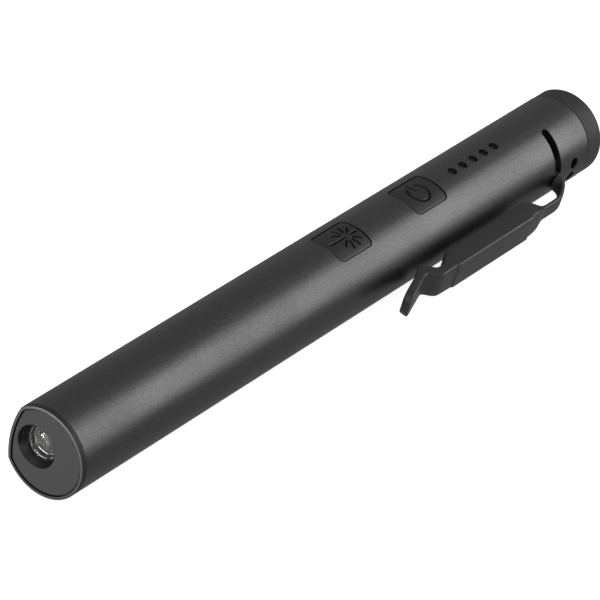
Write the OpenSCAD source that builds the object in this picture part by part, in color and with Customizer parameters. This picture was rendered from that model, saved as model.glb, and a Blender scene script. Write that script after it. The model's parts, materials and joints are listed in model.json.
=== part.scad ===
// Rechargeable penlight: D-section tube, off-centre spot lamp, two flush buttons,
// level gauge, and a pocket clip that swivels in a slot across the tube.
// Lengths in millimetres. Stations run from the front rim to the tail; angles run
// round the axis from the flat side (0) through the buttons (90) to the clip (180).

/* [Tube] */
// Outer diameter of the tube; all sizes across the tube keep their share of it
barrel_d = 18; // [15:0.1:21]
// Length of the tube between bezel and tail cap
barrel_len = 158.2; // [132:0.2:185]
// Radius of the gently crowned flat side
flat_crown_r = 19.5; // [16:0.5:24]
// Edge break on the tube's rear end
barrel_edge = 0.15; // [0.05:0.05:0.4]

/* [Head] */
// Length of the bezel ring in front of the tube
bezel_len = 1.1; // [1:0.05:2]
// Rounding of the bezel's front edge
bezel_edge = 0.15; // [0.05:0.05:0.3]
// Length of the bezel's spigot inside the tube
spigot_len = 5; // [3:0.5:6]
// Depth of the front panel below the rim
panel_recess = 0.5; // [0.3:0.05:0.6]
// Thickness of the panel's outer edge
panel_edge_t = 0.3; // [0.2:0.05:0.35]
// Depth of the lens face below the rim
lens_depth = 1.75; // [1.4:0.05:2.5]
// Thickness of the lens
lens_t = 1; // [0.8:0.1:1.6]
// Thickness of the lens seal
seal_t = 0.4; // [0.3:0.05:0.6]
// Length of the reflector cup
reflector_len = 6.4; // [5:0.2:8]
// Thickness of the lamp chip's base
chip_t = 0.4; // [0.3:0.05:0.6]
// Thickness of the lamp board
led_board_t = 1.2; // [1.2:0.1:1.6]
// Length of the heat sink
heat_sink_len = 6.2; // [4:0.2:8]

/* [Cell] */
// Length of the cell's can
cell_len = 48.5; // [40:0.5:58]
// Clearance between the cell and the tube's bore
cell_clear = 0.35; // [0.3:0.05:0.8]
// Height of the cell's positive button
cell_tip_h = 0.8; // [0.4:0.1:1.2]
// Thickness of the contact plates
contact_t = 0.3; // [0.2:0.05:0.5]
// Height of the front contact's sprung boss
contact_rise = 0.9; // [0.5:0.1:1.5]
// Thickness of the foam pad behind the cell
pad_t = 2; // [1:0.2:3]

/* [Board bay] */
// Place of the front button, as a share of the bay between cell and clip
front_button_share = 0.1976; // [0.18:0.001:0.22]
// Place of the rear button, as a share of the bay
rear_button_share = 0.5271; // [0.48:0.001:0.55]
// Place of the board screws from the bay's ends, as a share of the bay
screw_share = 0.07; // [0.06:0.005:0.08]
// Distance between indicator holes, as a share of the bay
gauge_share = 0.0469; // [0.04:0.001:0.05]
// Distance of the first indicator hole from the rear button's window
gauge_from_button = 6.1; // [5:0.1:7]
// Gap between the board's ends and the chassis ends
board_end_gap = 0.6; // [0.4:0.1:1]
// Thickness of the chassis end walls
chassis_end = 1.2; // [0.8:0.1:2]

/* [Buttons] */
// Length of a button
button_l = 10; // [8:0.1:11]
// Corner radius of a button
button_corner = 1.15; // [0.6:0.05:2]
// Gap round a button
button_gap = 0.22; // [0.15:0.01:0.3]
// Depth of the button's face below the round of the tube
button_drop = 0.05; // [0:0.01:0.2]
// Width of the step round a button's edge
button_step = 0.3; // [0.1:0.05:0.5]
// Travel of a button
button_travel = 0.4; // [0.2:0.05:0.45]
// Reach of the snap barbs past the window
barb_reach = 0.35; // [0.2:0.05:0.6]

/* [Gauge] */
// Number of indicator holes
gauge_count = 5; // [3:1:5]
// Diameter of the indicator holes
gauge_d = 2; // [1.4:0.1:2.1]

/* [Clip] */
// Distance of the slot from the tube's rear end
slot_from_tail = 10.9; // [10.6:0.1:14]
// Width of the slot
slot_w = 2.1; // [1.8:0.05:2.4]
// Angle that the clip swivels towards the buttons
swivel_angle = 60; // [30:1:70]
// Width of the clip's neck
neck_w = 3.4; // [3:0.1:3.6]
// Gap between the tube and the clip's leg
leg_gap = 2.3; // [1.8:0.1:3]
// Thickness of the clip's leg
leg_t = 2.75; // [2:0.05:3]
// Gap between the tube and the clip's block
block_gap = 1.7; // [1.2:0.1:2]
// Depth of the clip's block
block_t = 4.5; // [4:0.1:5]
// Width of the clip's block
block_w = 6; // [5.4:0.1:8]
// Length of the clip's block
block_len = 31; // [28:0.5:36]
// Distance of the block's rear end from the slot
block_from_slot = 16; // [14:0.5:18]
// Gap between the tube and the clip's contact crest
crest_gap = 0.85; // [0.6:0.05:1.1]
// Length of the flared tip
tip_len = 10.5; // [9:0.5:12]
// Rise of the flared tip above the tube
tip_rise = 5; // [4.2:0.1:5.8]
// Thickness of the flared tip
tip_t = 1.8; // [1.5:0.1:2.2]
// Width of the rounded tip
tip_w = 5.5; // [4.8:0.1:6]
// Thickness of the magnet's cover
cover_t = 0.6; // [0.4:0.05:0.8]
// Length of the shoe along the tube
shoe_l = 5.6; // [4.5:0.1:6]
// Half angle of the shoe
shoe_half = 28; // [25:1:32]
// Shank diameter of the clip screw
clip_screw_d = 1.1; // [0.8:0.05:1.2]
// Thickness of the friction ring
ring_d = 1; // [0.6:0.05:1.1]

/* [Tail] */
// Length of the tail cap behind the tube
cap_len = 5.7; // [5.4:0.1:8]
// Step between the tube and the tail cap
cap_step = 0.4; // [0.2:0.05:0.6]
// Rounding of the tail cap's end
cap_round = 1.6; // [0.8:0.1:2]
// Length of the cap's spigot inside the tube
cap_spigot = 3; // [2.6:0.1:3.2]
// Diameter of the lanyard holes
lanyard_d = 2.4; // [2:0.1:2.4]
// Wall left between the lanyard holes
lanyard_web = 0.85; // [0.8:0.05:1.5]
// Distance of the lanyard holes from the tube's rear end
lanyard_from_tail = 5; // [4.8:0.1:5.2]
// Width of the charging socket's shell
socket_w = 8.94; // [8.9:0.01:9]
// Height of the charging socket's shell
socket_h = 3.26; // [3.2:0.01:3.3]
// Depth of the charging socket
socket_l = 7; // [6:0.1:7.2]
// Wall of the charging socket's shell
socket_wall = 0.3; // [0.2:0.05:0.4]

/* [Fits] */
// Clearance of plugs and slides in the tube
plug_gap = 0.1; // [0.05:0.01:0.15]
// Clearance of small pieces in their seats
seat_gap = 0.05; // [0.03:0.01:0.08]
// Clearance between the shoe and its runway
run_gap = 0.2; // [0.15:0.01:0.25]
// Diameter of the lead wires
lead_d = 0.6; // [0.4:0.05:0.65]

/* [Hidden] */
$fn = 96;
// Overshoot of every cut
cut = 0.5;
// Steps in a computed fillet
arc_steps = 8;

// Sizes across the tube are drawn for this diameter and keep their share of it
nominal_d = 18;
cross_share = barrel_d / nominal_d;

// Tube
wall = 1.2 * cross_share;
flat_depth = 1.3 * cross_share;
barrel_r = barrel_d / 2;
bore_r = barrel_r - wall;
flat_h = barrel_r - flat_depth;
flat_axis_y = flat_h - flat_crown_r;
tube_x0 = bezel_len;
tube_x1 = bezel_len + barrel_len;
overall_len = tube_x1 + cap_len;
plug_inset = wall + plug_gap;
clip_angle = 180;

// Head, across
bezel_rim = 0.45 * cross_share;
spigot_wall = 0.6 * cross_share;
panel_gap = 0.35 * cross_share;
funnel_d = 8.4 * cross_share;
aperture_d = 6.2 * cross_share;
lens_r = 3.4 * cross_share;
reflector_wall = 0.4 * cross_share;
reflector_rear_r = 1.9 * cross_share;
chip_w = 2.4 * cross_share;
chip_dome_r = 0.95 * cross_share;
led_board_d = 7.8 * cross_share;
reflector_front_r = aperture_d / 2;
reflector_flange_r = lens_r + reflector_wall;
reflector_flange_t = 0.8;
reflector_steps = 10;
lens_edge = 0.15;
spigot_bore_inset = plug_inset + spigot_wall;
// The lamp sits against the flat side of the bezel's bore
lamp_offset = flat_h - spigot_bore_inset - plug_gap - reflector_flange_r;

// Head stack, front to back
panel_seat_x = panel_recess + panel_edge_t;
lens_x1 = lens_depth + lens_t;
panel_back_x = lens_x1 + seal_t;
reflector_x1 = panel_back_x + reflector_len;
led_board_x1 = reflector_x1 + led_board_t;
heat_sink_x1 = led_board_x1 + heat_sink_len;

// Cell, centred between the flat side and the bore behind it
cell_d = bore_r + flat_h - wall - 2 * cell_clear;
cell_offset = (bore_r - flat_h + wall) / 2;
cell_tip_d = 4.4 * cross_share;
contact_d = 8 * cross_share;
contact_boss_d = contact_d / 2;
cell_edge = 0.5;
pad_inset = plug_inset + plug_gap;
cell_x0 = heat_sink_x1 + contact_t + contact_rise;
cell_x1 = cell_x0 + cell_len;
rear_contact_x = cell_x1 + cell_tip_h;
pad_x0 = rear_contact_x + contact_t;
chassis_x0 = pad_x0 + pad_t;

// Clip runway and tail
drum_r = 5.4 * cross_share;
slot_x = tube_x1 - slot_from_tail;
runway_half = shoe_l / 2 + run_gap;
flange_t = 1;
hub_x0 = slot_x - runway_half - flange_t;
hub_x1 = slot_x + runway_half + flange_t;
cap_x0 = tube_x1 - cap_spigot;
lanyard_x = tube_x1 - lanyard_from_tail;
lanyard_half = asin((lanyard_d + lanyard_web) / barrel_d);
hub_bore_r = 3;
hub_stem_r = hub_bore_r + 1.2;
neck_t = slot_w - 2 * plug_gap;
neck_round_offset = (neck_w - neck_t) / 2;
stop_gap_angle = 2;
neck_half_angle = asin(neck_round_offset / barrel_r);
slot_end_angle = swivel_angle + neck_half_angle + stop_gap_angle;
slot_back_angle = neck_half_angle + stop_gap_angle;
shoe_r0 = drum_r + run_gap;
shoe_r1 = bore_r - run_gap;

// Chassis and board, in the bay between cell and clip runway
bay_len = hub_x0 - chassis_x0;
board_z = 1.6 * cross_share;
board_t = 1 * cross_share;
board_w = 11.8 * cross_share;
board_x0 = chassis_x0 + board_end_gap;
board_x1 = hub_x0 - board_end_gap;
board_top = board_z + board_t;
chassis_wall = 1.1 * cross_share;
chassis_bore_inset = plug_inset + chassis_wall;
screw_inset = screw_share * bay_len;
screw_xs = [chassis_x0 + screw_inset, hub_x0 - screw_inset];
screw_y = 4.2 * cross_share;
screw_d = 1.4;
screw_len = 4;
screw_head_d = 2.2;
screw_head_t = 0.7;
boss_d = screw_head_d + 0.6;

// Buttons, from the board up
front_button_x = chassis_x0 + front_button_share * bay_len;
rear_button_x = chassis_x0 + rear_button_share * bay_len;
button_pitch = rear_button_x - front_button_x;
button_w = 7.9 * cross_share;
button_t = 3.3 * cross_share;
switch_w = 4.5 * cross_share;
switch_h = 1.5 * cross_share;
plunger_d = 2 * cross_share;
plunger_rise = 0.6 * cross_share;
switch_top = board_top + switch_h;
plunger_top = switch_top + plunger_rise;
plunger_z0 = switch_top - plunger_rise;
switch_well_z = plunger_z0 - button_travel - seat_gap;
button_under = barrel_r - button_drop - button_t;
button_step_drop = 0.15;
crown_corner = button_corner - button_step;
window_l = button_l + 2 * button_gap;
window_w = button_w + 2 * button_gap;
window_corner = button_corner + button_gap;
stem_d = 1.2 * plunger_d;
barb_half = window_l / 2 + barb_reach;
barb_w = 3 * cross_share;
barb_h = 0.9 * cross_share;
barb_top = sqrt(bore_r * bore_r - barb_w * barb_w / 4) - plug_gap;
guide_wall = 1.4;
guide_top = button_under - button_travel - plug_gap;
guide_window = switch_w + 2 * run_gap;
guide_l = button_pitch + guide_window + 2 * guide_wall;
guide_x0 = front_button_x - guide_window / 2 - guide_wall;
guide_round_y = sqrt(pow(bore_r - run_gap, 2) - guide_top * guide_top) - run_gap;
guide_flat_y = flat_axis_y + sqrt(pow(flat_crown_r - wall, 2) - guide_top * guide_top) - run_gap;
guide_half_w = min(guide_round_y, guide_flat_y);

// Middle of the plain grip ahead of the front button
grip_x = (tube_x0 + front_button_x - window_l / 2) / 2;

// Gauge
gauge_x = rear_button_x + window_l / 2 + gauge_from_button;
gauge_pitch = gauge_share * bay_len;
gauge_xs = [for (i = [0:gauge_count - 1]) gauge_x + i * gauge_pitch];
gauge_recess = 0.6 * cross_share;
peg_top = barrel_r - gauge_recess;
pipe_bar_top = bore_r - gauge_recess;
pipe_bar_t = 1.2 * cross_share;
pipe_w = 2.8;
pipe_foot = 1;
pipe_column = 1.6;
gauge_led = [1.6, 0.8, 0.5];
led_air = 0.3 * cross_share;
pipe_end = gauge_led.x / 2 + pipe_foot + run_gap;

// Chips under the board as [place along the board as a share, y, length, width, height]
chips = [[0.2, 0.8, 6, 3.2, 1.2], [0.4, -1, 4, 4, 0.9], [0.6, 0.4, 5, 5, 2.4], [0.78, -0.6, 3.2, 4.2, 0.9]];

// Clip profile, as heights above the axis
leg_r0 = barrel_r + leg_gap;
leg_r1 = leg_r0 + leg_t;
block_r0 = barrel_r + block_gap;
block_r1 = block_r0 + block_t;
crest_r = barrel_r + crest_gap;
tip_r0 = barrel_r + tip_rise;
block_x1 = slot_x - block_from_slot;
block_x0 = block_x1 - block_len;
crest_run = 2.45;
crest_x = block_x0 - crest_run;
tip_x = crest_x - tip_len;
// The flare is a little flatter than a straight line from crest to tip
tip_ease = 2.7;
tip_slope = atan2(tip_r0 - crest_r, tip_len) - tip_ease;
knee_share = 0.36;
tip_thick = tip_t * [sin(tip_slope), cos(tip_slope)];
tip_knee = [crest_x - knee_share * tip_len, tip_r0 - (1 - knee_share) * tip_len * tan(tip_slope)];
strip_t = 2.45;
strip_r0 = block_r1 - strip_t;
dip_depth = 0.75;
dip_run = 0.95;
hollow_run = 1.6;
front_lean = 1.3;
block_ramp = 5;
rear_run = 1.5;
tip_round = tip_w / 2 - 0.1;
shoulder_l = 4.2;
heel_r = barrel_r + plug_gap + run_gap;
heel_front = slot_w / 2 + 0.95;
heel_back = neck_t / 2 - 0.4;
knee_drop = 3.1;
knee_run = 5.4;
tang_r0 = (shoe_r0 + shoe_r1) / 2;
screw_seat_r = (shoe_r0 + tang_r0) / 2;
clip_screw_r1 = tang_r0 + 2 * clip_screw_d;
clip_screw_head_d = 2;

// Magnet and cover in the block
magnet_l = block_len - 11;
magnet_w = block_w - 2;
magnet_t = block_t - cover_t - 1.5;
magnet_x0 = (block_x0 + block_x1 - magnet_l) / 2;
cover_rim = 0.5;

// Angle at which the tube and the clip rest together on a table
tip_corner = [tip_r0 + tip_thick.y - tip_round * tan(tip_slope), tip_w / 2];
block_corner = [block_r1, block_w / 2];
roll = min([for (c = [tip_corner, block_corner]) asin(barrel_r / norm(c)) - atan2(c.y, c.x)]);

// Charging socket
charge_board_t = 0.8;
charge_board_w = 8.4;
charge_board_l = 6;
socket_top = socket_h / 2;
charge_board_x0 = cap_x0 + board_end_gap;
charge_board_x1 = charge_board_x0 + charge_board_l;
socket_x1 = overall_len - socket_wall;
tongue = [socket_l - 1.2, 6.6, 0.7];
seal_depth = 0.6;
charge_lead_z = socket_top + charge_board_t / 2;
charge_lead_y = 1;

// Lead wires of the lamp, side by side in the corner beside the cell
lead_r = lead_d / 2;
lead_ring_r = bore_r - lead_d;
lead_angle = 42;
lead_pitch = lead_d + 0.15;
lead_angle_step = 2 * asin(lead_pitch / 2 / lead_ring_r);
lead_spots = [for (a = [lead_angle, lead_angle + lead_angle_step]) lead_ring_r * [cos(a), sin(a)]];
lead_corner = [lead_spots[1].x - lead_d, lead_spots[0].y - lead_d];
lead_drop_xs = [board_x0 + lead_pitch - lead_r, board_x0 + 2 * lead_pitch - lead_r];
lead_bend_xs = [reflector_x1 + lead_r, led_board_x1 - lead_r];

tube_black = "#2b2b2c";
plastic_black = "#1d1d1e";
panel_black = "#262627";
board_green = "#1f5a3a";
steel = "#b9bcc0";

// Shared shapes

// Puts a shape drawn in (y, z) at a station, extruded towards the tail
module along_x(x) translate([x, 0, 0]) rotate([90, 0, 90]) children();

// Points local z outwards at an angle round the axis
module radial(angle) rotate([angle - 90, 0, 0]) children();

// Half section of a drum whose edges are rounded by f0 at the front and f1 at the rear
module drum_section(r, len, f0, f1) {
    translate([0, f0])
        square([r, len - f0 - f1]);
    square([r - max(f0, f1), len]);
    if (f0 > 0) {
        translate([r - f0, f0])
            circle(f0);
        square([r - f0, len / 2]);
    }
    if (f1 > 0) {
        translate([r - f1, len - f1])
            circle(f1);
        translate([0, len / 2])
            square([r - f1, len / 2]);
    }
}

module drum(r, len, f0 = 0, f1 = 0) rotate_extrude() drum_section(r, len, f0, f1);

// D-section solid between two stations, set in from the tube's surface
module d_body(x0, x1, inset, f0 = 0, f1 = 0) {
    intersection() {
        along_x(x0)
            drum(barrel_r - inset, x1 - x0, f0, f1);
        along_x(x0)
            translate([flat_axis_y, 0, 0])
                drum(flat_crown_r - inset, x1 - x0, f0, f1);
    }
}

// Round piece on the lamp's own axis
module on_lamp(x) translate([0, lamp_offset, 0]) along_x(x) children();

module slab(x0, x1, y0, y1, z0, z1) translate([x0, y0, z0]) cube([x1 - x0, y1 - y0, z1 - z0]);

module rounded_rect(l, w, r) {
    square([l - 2 * r, w], center = true);
    square([l, w - 2 * r], center = true);
    for (sx = [-1, 1], sy = [-1, 1])
        translate([sx * (l / 2 - r), sy * (w / 2 - r)])
            circle(r);
}

module stadium(l, w) {
    square([l - w, w], center = true);
    for (s = [-1, 1])
        translate([s * (l - w) / 2, 0])
            circle(d = w);
}

function unit(v) = v / norm(v);

// Points of a fillet of radius r at p, between the neighbours a and b
function corner(a, p, b, r) = r == 0 ? [p] :
    let (u = unit(a - p), v = unit(b - p), half = acos(u * v) / 2)
    let (c = p + unit(u + v) * r / sin(half))
    let (t0 = p + u * r / tan(half) - c, t1 = p + v * r / tan(half) - c)
    let (start = atan2(t0.y, t0.x), turn = atan2(cross(t0, t1), t0 * t1))
    [for (i = [0:arc_steps]) c + r * [cos(start + turn * i / arc_steps), sin(start + turn * i / arc_steps)]];

function flat_point(p) = [p.x, p.y];

// Outline from corners given as [x, y, fillet radius]
function filleted(p) = let (n = len(p))
    [for (i = [0:n - 1])
        each corner(flat_point(p[(i + n - 1) % n]), flat_point(p[i]), flat_point(p[(i + 1) % n]), p[i].z)];

// Rod from a to b
module rod(a, b, d) {
    run = b - a;
    translate(a)
        rotate([0, acos(run.z / norm(run)), atan2(run.y, run.x)])
            cylinder(d = d, h = norm(run));
}

// Final pose: origin on the axis in the middle of the plain grip, lying on the tube and the clip's tip
module placed() rotate([roll, 0, 0]) translate([-grip_x, 0, 0]) children();

// Tube

module button_window(x)
    translate([x, 0, 0])
        linear_extrude(barrel_r + cut)
            rounded_rect(window_l, window_w, window_corner);

module clip_slot() {
    translate([slot_x - slot_w / 2, 0, 0])
        rotate([90, 0, 90])
            rotate([0, 0, clip_angle - slot_end_angle])
                rotate_extrude(angle = slot_end_angle + slot_back_angle)
                    translate([bore_r - cut, 0])
                        square([wall + 2 * cut, slot_w]);
    for (a = [clip_angle - slot_end_angle, clip_angle + slot_back_angle])
        translate([slot_x, 0, 0])
            radial(a)
                translate([0, 0, bore_r - cut])
                    cylinder(d = slot_w, h = wall + 2 * cut);
}

module barrel() color(tube_black) placed() difference() {
    d_body(tube_x0, tube_x1, 0, 0, barrel_edge);
    d_body(tube_x0 - cut, tube_x1 + cut, wall);
    button_window(front_button_x);
    button_window(rear_button_x);
    for (x = gauge_xs)
        translate([x, 0, 0])
            cylinder(d = gauge_d, h = barrel_r + cut);
    clip_slot();
    for (s = [-1, 1])
        translate([lanyard_x, 0, 0])
            radial(clip_angle + s * lanyard_half)
                cylinder(d = lanyard_d, h = barrel_r + cut);
}

// Head

module head_bezel() color(plastic_black) placed() difference() {
    union() {
        d_body(0, bezel_len, 0, bezel_edge);
        d_body(panel_seat_x, bezel_len + spigot_len, plug_inset);
    }
    d_body(-cut, panel_seat_x, bezel_rim);
    d_body(-cut, bezel_len + spigot_len + cut, spigot_bore_inset);
}

module front_panel() color(panel_black) placed() difference() {
    union() {
        d_body(panel_recess, panel_seat_x, bezel_rim + panel_gap);
        d_body(panel_recess, panel_back_x, spigot_bore_inset + seat_gap);
    }
    on_lamp(panel_recess)
        cylinder(d1 = funnel_d, d2 = aperture_d, h = lens_depth - panel_recess);
    on_lamp(lens_depth - cut)
        cylinder(d = aperture_d, h = 2 * cut);
    on_lamp(lens_depth)
        cylinder(r = lens_r + seat_gap, h = panel_back_x);
}

module lens() color("#dfe6ea", 0.5) placed() on_lamp(lens_depth) drum(lens_r, lens_t, 0, lens_edge);

module lens_seal() color(plastic_black) placed() on_lamp(lens_x1) difference() {
    cylinder(r = lens_r, h = seal_t);
    translate([0, 0, -cut])
        cylinder(r = reflector_front_r, h = seal_t + 2 * cut);
}

// Parabolic cup: the square of the radius grows evenly from rear to front
function cup_r(t) = sqrt(pow(reflector_front_r, 2) * (1 - t) + pow(reflector_rear_r, 2) * t);
cup_line = [for (i = [0:reflector_steps]) [cup_r(i / reflector_steps), i * reflector_len / reflector_steps]];
cup_back = [for (i = [reflector_steps:-1:0]) cup_line[i] + [reflector_wall, 0]];

module reflector() color("#e4e6e8") placed() on_lamp(panel_back_x) {
    rotate_extrude()
        polygon(concat(cup_line, cup_back));
    difference() {
        cylinder(r = reflector_flange_r, h = reflector_flange_t);
        translate([0, 0, -cut])
            cylinder(r = reflector_front_r + reflector_wall / 2, h = reflector_flange_t + 2 * cut);
    }
}

module led_emitter() color("#f2e6a0") placed() on_lamp(reflector_x1 - chip_t) {
    translate([-chip_w / 2, -chip_w / 2, 0])
        cube([chip_w, chip_w, chip_t]);
    intersection() {
        sphere(chip_dome_r);
        translate([0, 0, -chip_dome_r])
            cylinder(r = chip_dome_r, h = chip_dome_r + chip_t / 2);
    }
}

module led_board() color("#e8e8e4") placed() on_lamp(reflector_x1)
    cylinder(d = led_board_d, h = led_board_t);

// Corner groove in which the leads pass
module lead_groove(x0, x1) slab(x0, x1, lead_corner.x, barrel_d, lead_corner.y, barrel_d);

module heat_sink() color("#a9adb1") placed() difference() {
    d_body(led_board_x1, heat_sink_x1, plug_inset);
    lead_groove(led_board_x1 - cut, heat_sink_x1 + cut);
}

// One lead: from the rim of the lamp board, along the cell and down to the circuit board
module led_lead(spot, bend_x, drop_x) {
    away = [spot.x - lamp_offset, spot.y];
    rim = [lamp_offset, 0] + unit(away) * (led_board_d / 2 + seat_gap);
    bend = [bend_x, spot.x, spot.y];
    turn = [drop_x, spot.x, spot.y];
    rod([bend_x, rim.x, rim.y], bend, lead_d);
    translate(bend)
        sphere(d = lead_d + 2 * seat_gap);
    rod(bend, turn, lead_d);
    translate(turn)
        sphere(d = lead_d + 2 * seat_gap);
    rod([drop_x, spot.x, board_top], turn, lead_d);
}

module led_leads() color("#8c1d18") placed() for (i = [0, 1])
    led_lead(lead_spots[i], lead_bend_xs[i], lead_drop_xs[i]);

// Cell

module on_cell(x) translate([0, -cell_offset, 0]) along_x(x) children();

module front_contact() color(steel) placed() on_cell(heat_sink_x1) {
    cylinder(d = contact_d, h = contact_t);
    cylinder(d = contact_boss_d, h = contact_t + contact_rise);
}

module battery_cell() color("#3f6f9f") placed() on_cell(cell_x0) {
    drum(cell_d / 2, cell_len, cell_edge, cell_edge);
    cylinder(d = cell_tip_d, h = cell_len + cell_tip_h);
}

module rear_contact() color(steel) placed() on_cell(rear_contact_x) cylinder(d = contact_d, h = contact_t);

module rear_pad() color("#3a3a3d") placed() difference() {
    d_body(pad_x0, chassis_x0, pad_inset);
    lead_groove(pad_x0 - cut, chassis_x0 + cut);
}

// Chassis and board

module chassis() color("#303236") placed() difference() {
    union() {
        difference() {
            d_body(chassis_x0, hub_x0, plug_inset);
            d_body(chassis_x0 + chassis_end, hub_x0 - chassis_end, chassis_bore_inset);
        }
        intersection() {
            d_body(chassis_x0, hub_x0, chassis_bore_inset - chassis_wall / 2);
            for (x = screw_xs, s = [-1, 1])
                translate([x, s * screw_y, -barrel_r])
                    cylinder(d = boss_d, h = barrel_r + board_z);
        }
    }
    slab(chassis_x0 - cut, hub_x0 + cut, -barrel_d, barrel_d, board_z, barrel_d);
    for (x = screw_xs, s = [-1, 1])
        translate([x, s * screw_y, board_top - screw_len - cut])
            cylinder(d = screw_d + 2 * seat_gap, h = screw_len + 2 * cut);
}

module circuit_board() color(board_green) placed() difference() {
    slab(board_x0, board_x1, -board_w / 2, board_w / 2, board_z, board_top);
    for (x = screw_xs, s = [-1, 1])
        translate([x, s * screw_y, board_z - cut])
            cylinder(d = screw_d + 2 * plug_gap, h = board_t + 2 * cut);
}

module board_chips() color("#17181a") placed() for (c = chips)
    translate([board_x0 + c[0] * (board_x1 - board_x0), c[1] - c[3] / 2, board_z - c[4]])
        cube([c[2], c[3], c[4]]);

module board_screw() {
    cylinder(d = screw_head_d, h = screw_head_t);
    translate([0, 0, -screw_len])
        cylinder(d = screw_d, h = screw_len);
}

module board_screws() color(steel) placed() for (x = screw_xs, s = [-1, 1])
    translate([x, s * screw_y, board_top])
        board_screw();

// Buttons

module button_guide() color("#3b3d40") placed() difference() {
    slab(guide_x0, guide_x0 + guide_l, -guide_half_w, guide_half_w, board_top, guide_top);
    for (x = [front_button_x, rear_button_x])
        translate([x, 0, (board_top + guide_top) / 2])
            cube([guide_window, guide_window, guide_top], center = true);
}

// Curved cap with a fine step round its edge, a stem and two snap barbs
module button(x) color(plastic_black) placed() translate([x, 0, 0]) {
    intersection() {
        translate([0, 0, button_under])
            linear_extrude(button_t + cut)
                rounded_rect(button_l, button_w, button_corner);
        along_x(-barrel_r)
            cylinder(r = barrel_r - button_drop - button_step_drop, h = barrel_d);
    }
    intersection() {
        translate([0, 0, button_under])
            linear_extrude(button_t + cut)
                rounded_rect(button_l - 2 * button_step, button_w - 2 * button_step, crown_corner);
        along_x(-barrel_r)
            cylinder(r = barrel_r - button_drop, h = barrel_d);
    }
    slab(-barb_half, barb_half, -barb_w / 2, barb_w / 2, barb_top - barb_h, barb_top);
    translate([0, 0, plunger_top])
        cylinder(d = stem_d, h = button_under - plunger_top + button_step);
}

module front_button() button(front_button_x);

module rear_button() button(rear_button_x);

module switch_base(x) color("#c9c9c4") placed() translate([x, 0, board_top]) difference() {
    translate([-switch_w / 2, -switch_w / 2, 0])
        cube([switch_w, switch_w, switch_h]);
    translate([0, 0, switch_well_z - board_top])
        cylinder(d = plunger_d + 2 * plug_gap, h = switch_h);
}

module front_switch() switch_base(front_button_x);

module rear_switch() switch_base(rear_button_x);

module plunger(x) color("#141414") placed() translate([x, 0, plunger_z0])
    cylinder(d = plunger_d, h = plunger_top - plunger_z0);

module front_plunger() plunger(front_button_x);

module rear_plunger() plunger(rear_button_x);

// Level gauge

module gauge_leds() color("#e9efe2") placed() for (x = gauge_xs)
    translate([x, 0, board_top + gauge_led.z / 2])
        cube(gauge_led, center = true);

module light_pipe() color("#2a2c2d") placed() {
    bar_z = pipe_bar_top - pipe_bar_t;
    bar_x0 = gauge_x - pipe_end;
    bar_x1 = gauge_xs[gauge_count - 1] + pipe_end;
    slab(bar_x0, bar_x1, -pipe_w / 2, pipe_w / 2, bar_z, pipe_bar_top);
    for (x = gauge_xs) {
        translate([x, 0, bar_z])
            cylinder(d = gauge_d - 2 * seat_gap, h = peg_top - bar_z);
        slab(x - pipe_column / 2, x + pipe_column / 2, -pipe_column / 2, pipe_column / 2,
             board_top + gauge_led.z + led_air, pipe_bar_top);
    }
    for (x = [bar_x0, bar_x1 - pipe_foot])
        slab(x, x + pipe_foot, -pipe_w / 2, pipe_w / 2, board_top, pipe_bar_top);
}

// Clip runway

module swivel_hub() color("#2c2e31") placed() difference() {
    union() {
        d_body(hub_x0, hub_x0 + flange_t, plug_inset);
        d_body(hub_x1 - flange_t, hub_x1, plug_inset);
        along_x(hub_x0)
            cylinder(r = drum_r, h = hub_x1 - hub_x0);
        along_x(hub_x0)
            cylinder(r = hub_stem_r, h = cap_x0 - hub_x0);
    }
    along_x(hub_x0 - cut)
        cylinder(r = hub_bore_r, h = cap_x0 - hub_x0 + 2 * cut);
    along_x(slot_x - ring_d / 2 - seat_gap)
        difference() {
            cylinder(r = drum_r + cut, h = ring_d + 2 * seat_gap);
            cylinder(r = drum_r + run_gap / 2 - ring_d - seat_gap, h = ring_d + 2 * seat_gap);
        }
}

module hub_ring() color(plastic_black) placed() along_x(slot_x) rotate_extrude()
    translate([drum_r + run_gap / 2 - ring_d / 2, 0])
        circle(d = ring_d);

// Stadium section of the clip's tang, along the clip's own radius
module tang(gap, r0, r1)
    translate([slot_x, 0, 0])
        radial(clip_angle)
            translate([0, 0, r0])
                linear_extrude(r1 - r0)
                    rotate([0, 0, 90])
                        stadium(neck_w + 2 * gap, neck_t + 2 * gap);

module clip_screw_bore(gap, r0, r1)
    translate([slot_x, 0, 0])
        radial(clip_angle)
            translate([0, 0, r0])
                cylinder(d = clip_screw_d + 2 * gap, h = r1 - r0);

module clip_shoe() color("#3c3f43") placed() difference() {
    translate([slot_x - shoe_l / 2, 0, 0])
        rotate([90, 0, 90])
            rotate([0, 0, clip_angle - shoe_half])
                rotate_extrude(angle = 2 * shoe_half)
                    translate([shoe_r0, 0])
                        square([shoe_r1 - shoe_r0, shoe_l]);
    tang(seat_gap, tang_r0, barrel_r);
    clip_screw_bore(seat_gap, shoe_r0 - cut, barrel_r);
    translate([slot_x, 0, 0])
        radial(clip_angle)
            translate([0, 0, shoe_r0 - cut])
                cylinder(d = clip_screw_head_d + 2 * seat_gap, h = screw_seat_r - shoe_r0 + cut);
}

module clip_screw() color(steel) placed() translate([slot_x, 0, 0]) radial(clip_angle) {
    translate([0, 0, shoe_r0 + seat_gap])
        cylinder(d = clip_screw_head_d, h = screw_seat_r - shoe_r0 - seat_gap);
    translate([0, 0, screw_seat_r])
        cylinder(d = clip_screw_d, h = clip_screw_r1 - screw_seat_r);
}

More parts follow.
